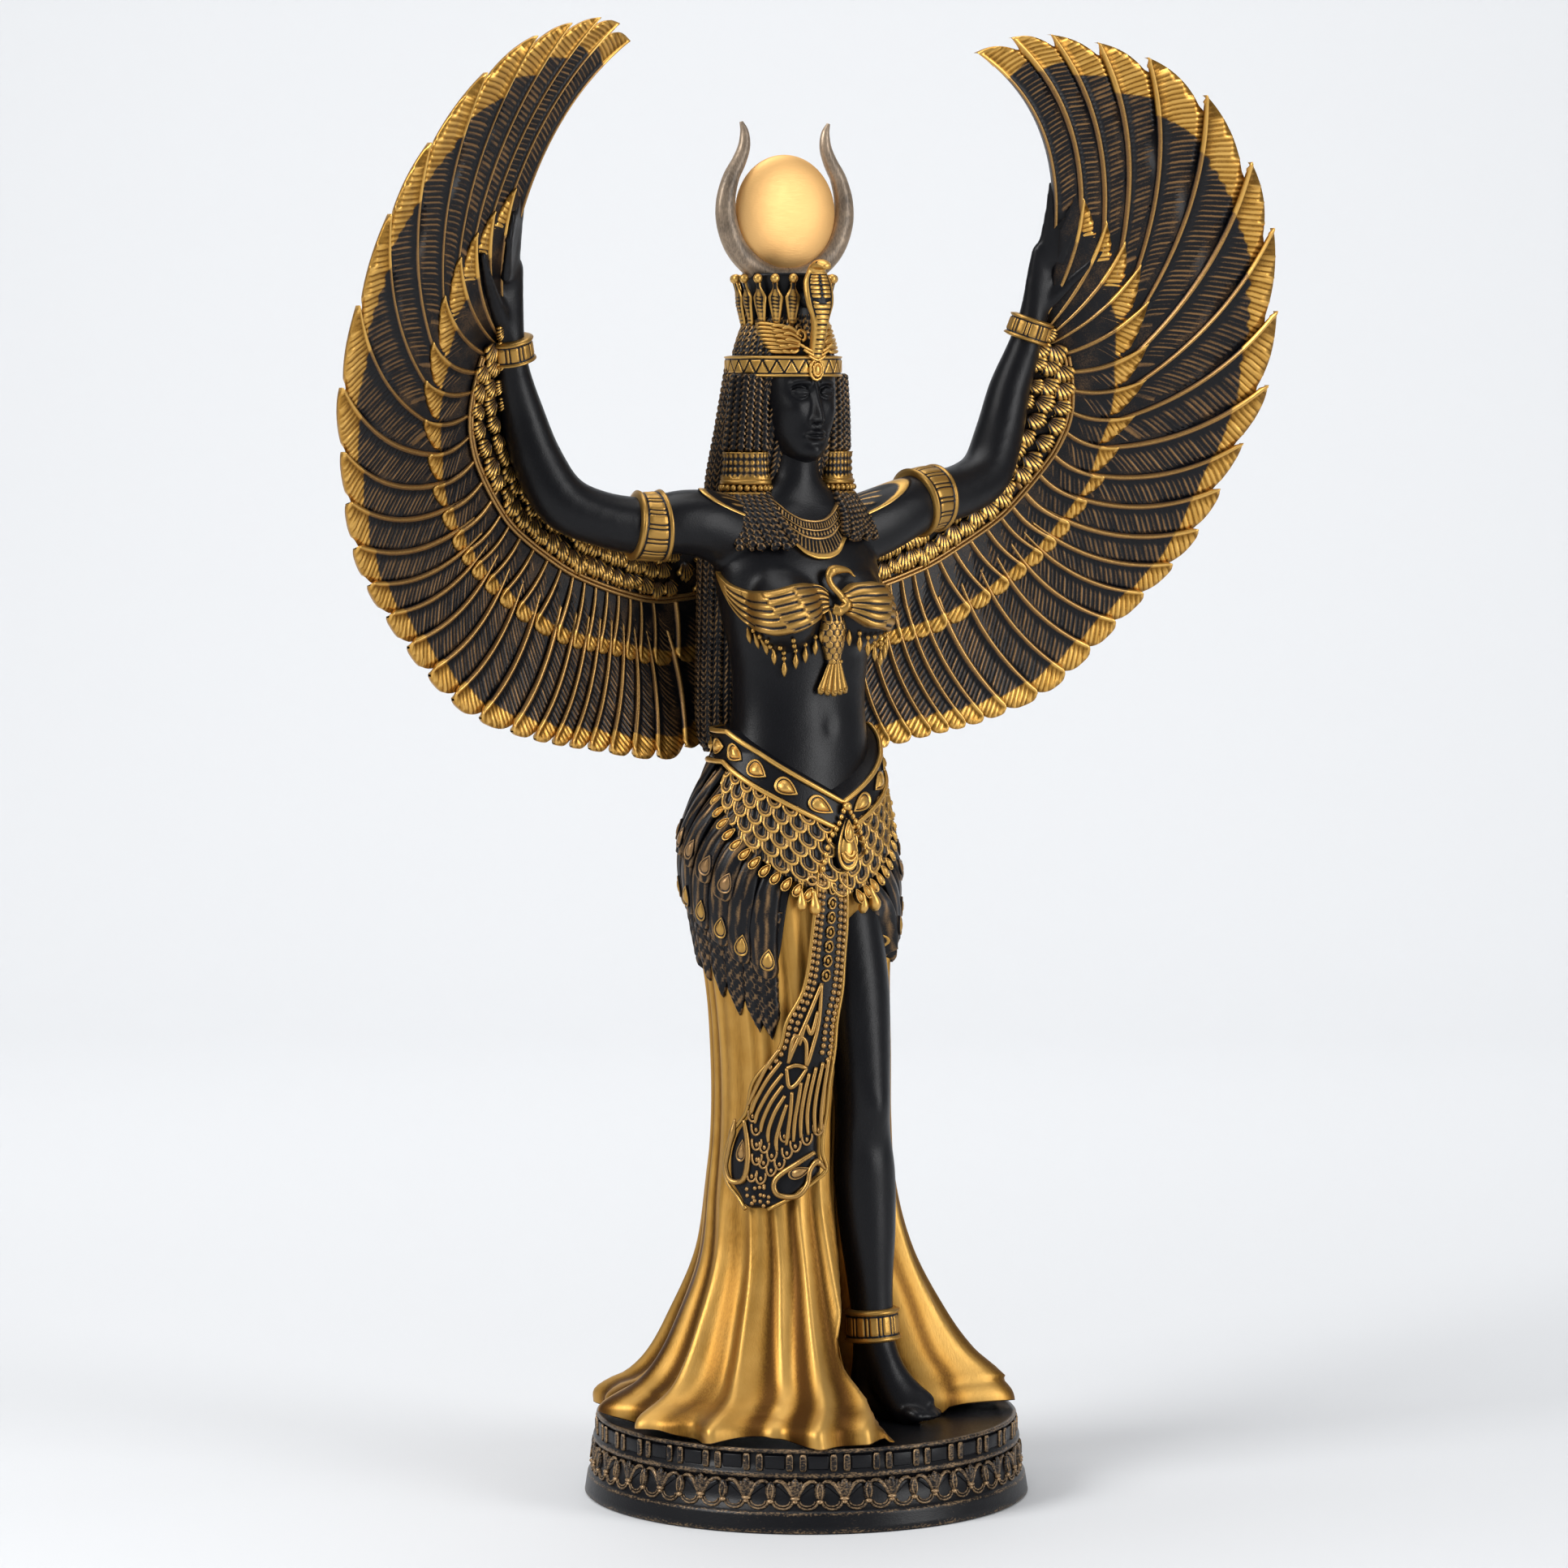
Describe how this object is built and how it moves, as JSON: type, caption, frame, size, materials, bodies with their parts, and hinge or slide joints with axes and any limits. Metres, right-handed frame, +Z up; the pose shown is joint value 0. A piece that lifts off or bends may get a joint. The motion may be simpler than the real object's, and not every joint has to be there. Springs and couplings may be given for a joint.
{
  "type": "winged goddess statuette",
  "caption": "Black and gold resin statuette of a winged Egyptian goddess in a slit gown with raised arms, horned sun-disc crown and a round lotus plinth.",
  "frame": {"origin": "centre of the plinth's underside", "axes": "+Z up, the figure faces -Y, +X towards the figure's left"},
  "size_m": [0.294, 0.1214, 0.397],
  "materials": {
    "plinth": "satin black resin, raised ornament dry-brushed gold",
    "figure": "satin black resin skin, gold gown and gold dry-brushed ornament",
    "wing": "black resin feathers dry-brushed bronze with gold tips"
  },
  "bodies": {
    "root": {"plinth": "plinth", "figure": "figure", "wing_right": "wing", "wing_left": "wing"}
  },
  "joints": []
}
